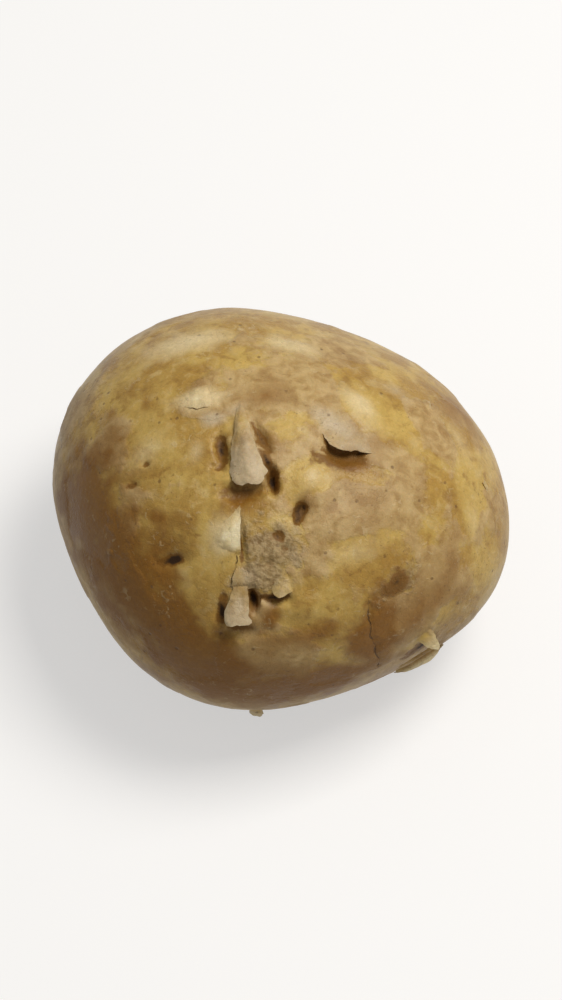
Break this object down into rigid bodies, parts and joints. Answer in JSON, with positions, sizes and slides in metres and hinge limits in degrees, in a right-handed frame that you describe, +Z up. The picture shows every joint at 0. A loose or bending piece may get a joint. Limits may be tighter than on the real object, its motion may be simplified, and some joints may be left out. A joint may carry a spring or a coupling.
{
  "type": "potato",
  "caption": "Whole raw potato, a lopsided egg with golden, thin, peeling skin and shallow eyes, lying on its broad side.",
  "frame": {"origin": "under the middle of the bounding box, on the surface that the potato rests on", "axes": "+X along the length towards the blunter nose, +Y across the width, +Z up through the thickness"},
  "size_m": [0.0836, 0.078, 0.0595],
  "materials": {
    "skin": "satin"
  },
  "bodies": {
    "root": {"potato": "skin"}
  },
  "joints": []
}
